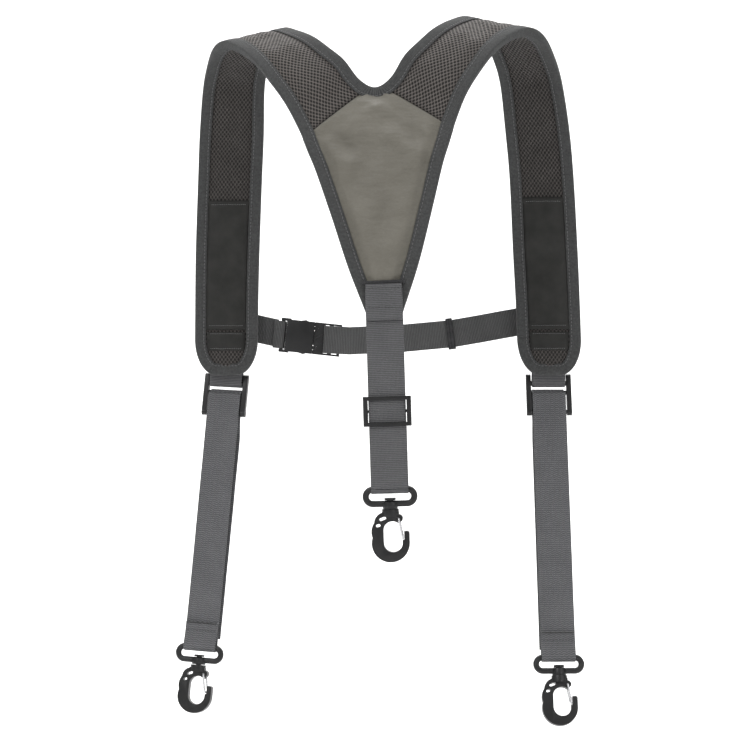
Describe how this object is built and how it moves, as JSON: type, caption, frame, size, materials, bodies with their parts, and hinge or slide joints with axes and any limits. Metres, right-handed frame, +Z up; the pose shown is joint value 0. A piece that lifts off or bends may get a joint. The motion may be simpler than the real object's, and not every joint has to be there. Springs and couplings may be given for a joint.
{
  "type": "padded shoulder harness",
  "caption": "Padded Y-back shoulder harness with a buckled sternum strap and adjustable webbing drops ending in swivel snap hooks.",
  "frame": {"origin": "midway between the shoulders at the height of the strap's underside on the crest, level with the yoke tip's outer face from front to back", "axes": "+X to the wearer's right, +Y forward out of the wearer's chest, +Z up; the back yoke faces -Y"},
  "size_m": [0.3617, 0.2144, 0.6045],
  "materials": {
    "air_mesh": "open hexagon-knit air mesh",
    "panel_cloth": "plain woven polyester, slight sheen",
    "foam": "closed-cell foam core",
    "binding_tape": "woven edge tape",
    "patch_cloth": "smooth dark cloth",
    "webbing": "ribbed polypropylene webbing",
    "hardware": "satin moulded acetal",
    "gate_wire": "bright spring wire"
  },
  "bodies": {
    "harness": {"back_panel": "panel_cloth", "back_foam": "foam", "back_lining": "air_mesh", "shoulder_mesh_left": "air_mesh", "shoulder_mesh_right": "air_mesh", "pad_foam_left": "foam", "pad_foam_right": "foam", "pad_lining_left": "air_mesh", "pad_lining_right": "air_mesh", "binding_left": "binding_tape", "binding_right": "binding_tape", "binding_neck": "binding_tape", "chest_patch_left": "patch_cloth", "chest_patch_right": "patch_cloth", "chest_tab_left": "patch_cloth", "chest_tab_right": "patch_cloth", "pad_loop_left": "webbing", "pad_loop_right": "webbing", "back_anchor": "webbing", "back_web": "webbing", "sternum_web_left": "webbing", "sternum_web_right": "webbing", "sternum_tail": "webbing", "sternum_keeper": "binding_tape", "buckle_female": "hardware"},
    "strap_left": {"ladder_lock_left": "hardware", "leg_tail_left": "webbing", "leg_web_left": "webbing"},
    "drop_left": {"leg_fold_left": "webbing"},
    "strap_right": {"ladder_lock_right": "hardware", "leg_tail_right": "webbing", "leg_web_right": "webbing"},
    "drop_right": {"leg_fold_right": "webbing"},
    "slider_body": {"back_slider": "hardware", "slider_web": "webbing"},
    "drop_back": {"back_fold": "webbing"},
    "ring_left": {"swivel_ring_left": "hardware"},
    "hook_left": {"snap_hook_left": "hardware"},
    "gate_left": {"hook_gate_left": "gate_wire"},
    "ring_right": {"swivel_ring_right": "hardware"},
    "hook_right": {"snap_hook_right": "hardware"},
    "gate_right": {"hook_gate_right": "gate_wire"},
    "ring_back": {"swivel_ring_back": "hardware"},
    "hook_back": {"snap_hook_back": "hardware"},
    "gate_back": {"hook_gate_back": "gate_wire"},
    "buckle_male": {"buckle_male": "hardware"},
    "arm_upper": {"buckle_arm_upper": "hardware"},
    "arm_lower": {"buckle_arm_lower": "hardware"}
  },
  "joints": [
    {"name": "strap_swing_left", "type": "hinge", "parent": "harness", "child": "strap_left", "pos_m": [-0.1435, 0.2032, -0.3005], "axis": [-0.9888, 0.1392, 0.0536], "range_deg": [-25, 45]},
    {"name": "strap_adjust_left", "type": "slide", "parent": "strap_left", "child": "drop_left", "axis": [0.0763, 0.1634, 0.9836], "range_m": [0, 0.1], "deforming": ["leg_web_left"]},
    {"name": "ring_pivot_left", "type": "hinge", "parent": "drop_left", "child": "ring_left", "pos_m": [-0.16173, 0.16414, -0.53558], "axis": [-0.9888, 0.1392, 0.0536], "range_deg": [-20, 60]},
    {"name": "hook_swivel_left", "type": "hinge", "parent": "ring_left", "child": "hook_left", "pos_m": [-0.16173, 0.16414, -0.53558], "axis": [0.0763, 0.1634, 0.9836], "continuous": true},
    {"name": "gate_open_left", "type": "hinge", "parent": "hook_left", "child": "gate_left", "pos_m": [-0.15699, 0.15939, -0.55895], "axis": [0.1281, 0.9767, -0.1722], "range_deg": [0, 25], "stiffness_Nm_per_rad": 0.02, "springref_deg": -11.46},
    {"name": "strap_swing_right", "type": "hinge", "parent": "harness", "child": "strap_right", "pos_m": [0.149, 0.2021, -0.3005], "axis": [-0.9976, -0.0698, -0.0035], "range_deg": [-25, 45]},
    {"name": "strap_adjust_right", "type": "slide", "parent": "strap_right", "child": "drop_right", "axis": [-0.0246, 0.305, 0.952], "range_m": [0, 0.1], "deforming": ["leg_web_right"]},
    {"name": "ring_pivot_right", "type": "hinge", "parent": "drop_right", "child": "ring_right", "pos_m": [0.15511, 0.12647, -0.53661], "axis": [-0.9976, -0.0698, -0.0035], "range_deg": [-20, 60]},
    {"name": "hook_swivel_right", "type": "hinge", "parent": "ring_right", "child": "hook_right", "pos_m": [0.15511, 0.12647, -0.53661], "axis": [-0.0246, 0.305, 0.952], "continuous": true},
    {"name": "gate_open_right", "type": "hinge", "parent": "hook_right", "child": "gate_right", "pos_m": [0.16227, 0.1198, -0.55886], "axis": [-0.0654, 0.9498, -0.3059], "range_deg": [0, 25], "stiffness_Nm_per_rad": 0.02, "springref_deg": -11.46},
    {"name": "slider_slide", "type": "slide", "parent": "harness", "child": "slider_body", "axis": [-0.0297, 0, 0.9996], "range_m": [0, 0.05], "deforming": ["back_web"]},
    {"name": "back_rise", "type": "slide", "parent": "harness", "child": "drop_back", "axis": [-0.0297, 0, 0.9996], "range_m": [0, 0.025], "deforming": ["back_web"]},
    {"name": "ring_pivot_back", "type": "hinge", "parent": "drop_back", "child": "ring_back", "pos_m": [0.01561, 0.0027, -0.38444], "axis": [-0.9996, 0, -0.0297], "range_deg": [-60, 60]},
    {"name": "hook_swivel_back", "type": "hinge", "parent": "ring_back", "child": "hook_back", "pos_m": [0.01561, 0.0027, -0.38444], "axis": [-0.0297, 0, 0.9996], "continuous": true},
    {"name": "gate_open_back", "type": "hinge", "parent": "hook_back", "child": "gate_back", "pos_m": [0.0229, 0.0027, -0.40763], "axis": [0, 1, 0], "range_deg": [0, 25], "stiffness_Nm_per_rad": 0.02, "springref_deg": -11.46},
    {"name": "buckle_release", "type": "slide", "parent": "harness", "child": "buckle_male", "axis": [0.9919, 0.0728, -0.1045], "range_m": [0, 0.03], "deforming": ["sternum_web_right", "sternum_tail", "sternum_keeper", "buckle_arm_upper", "buckle_arm_lower"]},
    {"name": "buckle_squeeze_upper", "type": "hinge", "parent": "buckle_male", "child": "arm_upper", "pos_m": [-0.06054, 0.2033, -0.25113], "axis": [0.0732, -0.9973, 0], "range_deg": [0, 7], "stiffness_Nm_per_rad": 0.05, "springref_deg": -5.73},
    {"name": "buckle_squeeze_lower", "type": "hinge", "parent": "buckle_male", "child": "arm_lower", "pos_m": [-0.06233, 0.20317, -0.26823], "axis": [-0.0732, 0.9973, 0], "range_deg": [0, 7], "stiffness_Nm_per_rad": 0.05, "springref_deg": -5.73}
  ],
  "couplings": [
    {"joint": "back_rise", "follows": "slider_slide", "ratio": 0.5},
    {"joint": "buckle_squeeze_lower", "follows": "buckle_squeeze_upper", "ratio": 1}
  ]
}
